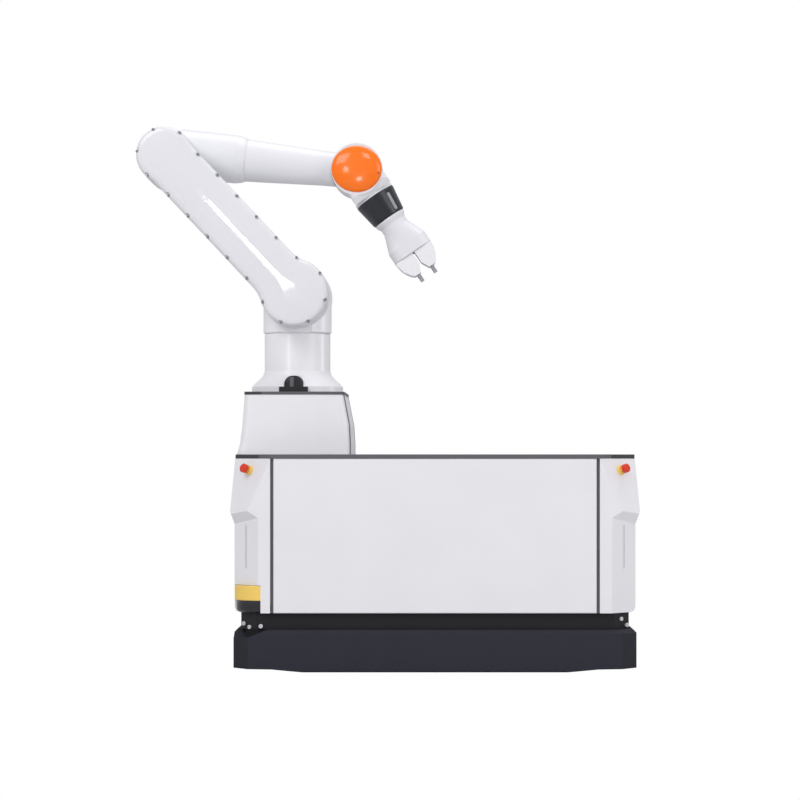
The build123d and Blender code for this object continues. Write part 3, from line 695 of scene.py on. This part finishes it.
# Gripper: the joint line between its body and the jaws
gripper_joint_at = 0.3094
gripper_joint_width = 0.0028
gripper_corner = 0.034
joint_stand = 0.0003
joint_size = (
    2 * gripper_half_width + joint_stand,
    gripper_joint_width,
    2 * gripper_half_depth + joint_stand,
)
joint_bm = bmesh.new()
joint_place = hand_frame @ Matrix.Translation((0.0, 0.0, gripper_joint_at)) @ Matrix.Rotation(pi / 2, 4, "X")
slab(joint_bm, joint_size, joint_place, gripper_corner, 10)
new_piece("gripper_joint_line", joint_bm, "gripper", seam_grey)

# Scanner windows: a smoked band round each optics head
window_inset = 0.0057
window_radius = scanner_size - window_inset
window_low_z = 0.193
window_height = 0.02
window_bm = bmesh.new()
for side in (-1, 1):
    centre = (side * (half_length - scanner_size), side * (half_width - scanner_size), window_low_z)
    disc(window_bm, centre, (0, 0, 1), window_radius, window_height, 96)
new_piece("scanner_windows", window_bm, "platform", smoked)

# Fittings on the corners of the neck, as distances from the middle and heights
neck_half_length = half_length - 0.021
neck_half_width = half_width - 0.022
neck_chamfer = 0.046
fitting_radius = 0.0065
fitting_height = 0.005
scanner_corner_fittings = ((0.5757, 0.151), (0.5575, 0.1415), (0.524, 0.145))
plain_corner_fittings = ((0.56, 0.166), (0.578, 0.146))
fitting_bm = bmesh.new()
for side in (-1, 1):
    for side_y, fittings in ((side, scanner_corner_fittings), (-side, plain_corner_fittings)):
        for x, z in fittings:
            past_corner = x - (neck_half_length - neck_chamfer)
            facing_out = (side, side_y, 0) if past_corner > 0 else (0, side_y, 0)
            depth = neck_half_width - max(0.0, past_corner)
            spot = (side * x, side_y * depth, z)
            socket_screw(fitting_bm, spot, facing_out, fitting_radius, fitting_height)
# Their pale zinc is partly painted glint
new_piece("neck_fittings", fitting_bm, "platform", zinc_and_glint)

# Base connector: a painted reflection, a light grey bar down its front
reflection_size = (0.012, 0.0012, 0.036)
reflection_corner = 0.004
reflection_middle = (arm_x - 0.0098, -0.1504, 0.883)
reflection_bm = bmesh.new()
slab(reflection_bm, reflection_size, Matrix.Translation(reflection_middle), reflection_corner)
new_piece("connector_painted_reflection", reflection_bm, "platform", reflection_grey)

# Pedestal: painted shade, dark strips down both edges of its end face
shade_strip_width = 0.0068
shade_strip_depth = 0.014
shade_strip_sink = 0.0026
shade_strip_stations = (
    Vector((-0.258, 0.217, 0.662)),
    Vector((-0.258, 0.211, 0.694)),
    Vector((-0.261, 0.203, 0.752)),
    Vector((-0.279, 0.189, 0.845)),
)
shade_strip_bm = bmesh.new()
for side in (-1, 1):
    for low, high in zip(shade_strip_stations, shade_strip_stations[1:]):
        rise = high - low
        middle = (low + high) / 2
        bar = Matrix(
            (
                (shade_strip_width, 0.0, rise.x, middle.x - shade_strip_sink),
                (0.0, shade_strip_depth, side * rise.y, side * middle.y),
                (0.0, 0.0, rise.z, middle.z),
                (0.0, 0.0, 0.0, 1.0),
            )
        )
        bmesh.ops.create_cube(shade_strip_bm, size=1.0, matrix=bar)
new_piece("pedestal_painted_shade", shade_strip_bm, "platform", seam_and_shade_dark, smooth=False)

# Softened edges
soften(["hand_body", "gripper_body"], 0.003, 3)
soften(["jaw_left", "jaw_right"], 0.0025, 3)
soften(["side_panel_front", "side_panel_rear", "end_panel_left", "end_panel_right"], 0.0012, 2)
soften(["upper_arm_housing"], 0.006, 4)
soften(["pedestal_shell", "bumper_skirt"], 0.004, 3)
corner_covers = [f"corner_cover_{end}_{side}" for end in ("front", "rear") for side in ("left", "right")]
soften(corner_covers, 0.004, 3)
